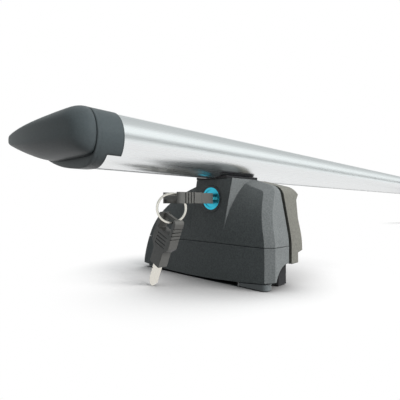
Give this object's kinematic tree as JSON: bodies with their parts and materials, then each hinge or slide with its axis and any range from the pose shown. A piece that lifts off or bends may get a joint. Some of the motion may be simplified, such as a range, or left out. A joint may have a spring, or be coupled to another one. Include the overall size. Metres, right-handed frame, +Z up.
{
  "type": "roof crossbar with lockable clamp feet",
  "caption": "Aero-section aluminium roof crossbar with plastic end caps, standing on lockable clamp feet that grip a roof rail; keys on a ring hang from the lock.",
  "frame": {"origin": "middle of the bar's length and of the feet's length, at floor level", "axes": "+X along the bar away from the end with the keys, -Y towards the leading edge, +Z up"},
  "size_m": [1.1904, 0.134, 0.1062],
  "materials": {
    "bar_aluminium": "satin anodised extrusion, drawn along its length",
    "strip_rubber": "matt black rubber",
    "cap_plastic": "smooth dark grey moulding",
    "cover_plastic": "fine grained charcoal moulding",
    "body_plastic": "grained dark grey moulding",
    "pad_rubber": "matt black rubber",
    "fastener_steel": "zinc plated",
    "claw_metal": "dark powder coat",
    "lock_surround": "smooth dark moulding",
    "lock_turquoise": "glossy turquoise",
    "key_plastic": "charcoal moulding",
    "key_steel": "nickel plated"
  },
  "bodies": {
    "bar": {"crossbar": "bar_aluminium", "slot_strip": "strip_rubber", "near_cap_collar": "cap_plastic", "near_cap_nose": "cap_plastic", "far_cap_collar": "cap_plastic", "far_cap_nose": "cap_plastic"},
    "near_foot": {"near_foot_body": "body_plastic", "near_lower_cover": "cover_plastic", "near_saddle_gasket": "pad_rubber", "near_tee_bolt": "fastener_steel", "near_tee_washer": "fastener_steel", "near_tee_nut": "fastener_steel", "near_barrel_nut": "fastener_steel", "near_rail_pad": "pad_rubber"},
    "near_cover": {"near_upper_cover": "cover_plastic", "near_lock_barrel": "lock_surround"},
    "near_jaw": {"near_clamp_claw": "claw_metal", "near_clamp_washer": "fastener_steel"},
    "near_screw": {"near_clamp_bolt": "fastener_steel"},
    "near_lock": {"near_lock_cylinder": "lock_turquoise", "near_lock_cam": "fastener_steel"},
    "far_foot": {"far_foot_body": "body_plastic", "far_lower_cover": "cover_plastic", "far_saddle_gasket": "pad_rubber", "far_tee_bolt": "fastener_steel", "far_tee_washer": "fastener_steel", "far_tee_nut": "fastener_steel", "far_barrel_nut": "fastener_steel", "far_rail_pad": "pad_rubber"},
    "far_cover": {"far_upper_cover": "cover_plastic", "far_lock_barrel": "lock_surround"},
    "far_jaw": {"far_clamp_claw": "claw_metal", "far_clamp_washer": "fastener_steel"},
    "far_screw": {"far_clamp_bolt": "fastener_steel"},
    "far_lock": {"far_lock_cylinder": "lock_turquoise", "far_lock_cam": "fastener_steel"},
    "key": {"key_head": "key_plastic", "key_blade": "key_steel"},
    "ring": {"key_ring": "key_steel"},
    "spare_key": {"spare_key_head": "key_plastic", "spare_key_blade": "key_steel"}
  },
  "joints": [
    {"name": "near_foot_slide", "type": "slide", "parent": "bar", "child": "near_foot", "axis": [1, 0, 0], "range_m": [-0.05, 0.3]},
    {"name": "near_cover_pull", "type": "slide", "parent": "near_foot", "child": "near_cover", "axis": [-1, 0, 0], "range_m": [0, 0.04]},
    {"name": "near_jaw_slide", "type": "slide", "parent": "near_foot", "child": "near_jaw", "axis": [1, 0, 0], "range_m": [0, 0.006]},
    {"name": "near_screw_turn", "type": "hinge", "parent": "near_jaw", "child": "near_screw", "pos_m": [-0.476, 0.02, 0.038], "axis": [1, 0, 0], "range_deg": [0, 1728]},
    {"name": "near_lock_turn", "type": "hinge", "parent": "near_cover", "child": "near_lock", "pos_m": [-0.476, -0.016, 0.06], "axis": [1, 0, 0], "range_deg": [-90, 0]},
    {"name": "far_foot_slide", "type": "slide", "parent": "bar", "child": "far_foot", "axis": [-1, 0, 0], "range_m": [-0.05, 0.3]},
    {"name": "far_cover_pull", "type": "slide", "parent": "far_foot", "child": "far_cover", "axis": [1, 0, 0], "range_m": [0, 0.04]},
    {"name": "far_jaw_slide", "type": "slide", "parent": "far_foot", "child": "far_jaw", "axis": [-1, 0, 0], "range_m": [0, 0.006]},
    {"name": "far_screw_turn", "type": "hinge", "parent": "far_jaw", "child": "far_screw", "pos_m": [0.476, 0.02, 0.038], "axis": [-1, 0, 0], "range_deg": [0, 1728]},
    {"name": "far_lock_turn", "type": "hinge", "parent": "far_cover", "child": "far_lock", "pos_m": [0.476, -0.016, 0.06], "axis": [1, 0, 0], "range_deg": [-90, 0]},
    {"name": "key_pull", "type": "slide", "parent": "near_lock", "child": "key", "axis": [-1, 0, 0], "range_m": [0, 0.025]},
    {"name": "ring_swing", "type": "hinge", "parent": "key", "child": "ring", "pos_m": [-0.5141, -0.016, 0.06], "axis": [0, 1, 0], "range_deg": [-4, 20]},
    {"name": "spare_key_swing", "type": "hinge", "parent": "ring", "child": "spare_key", "pos_m": [-0.5141, -0.016, 0.0437], "axis": [0.866, -0.5, 0], "range_deg": [-20, 20]}
  ],
  "couplings": [
    {"joint": "near_screw_turn", "follows": "near_jaw_slide", "rad_per_m": 5026.5},
    {"joint": "far_screw_turn", "follows": "far_jaw_slide", "rad_per_m": 5026.5}
  ]
}
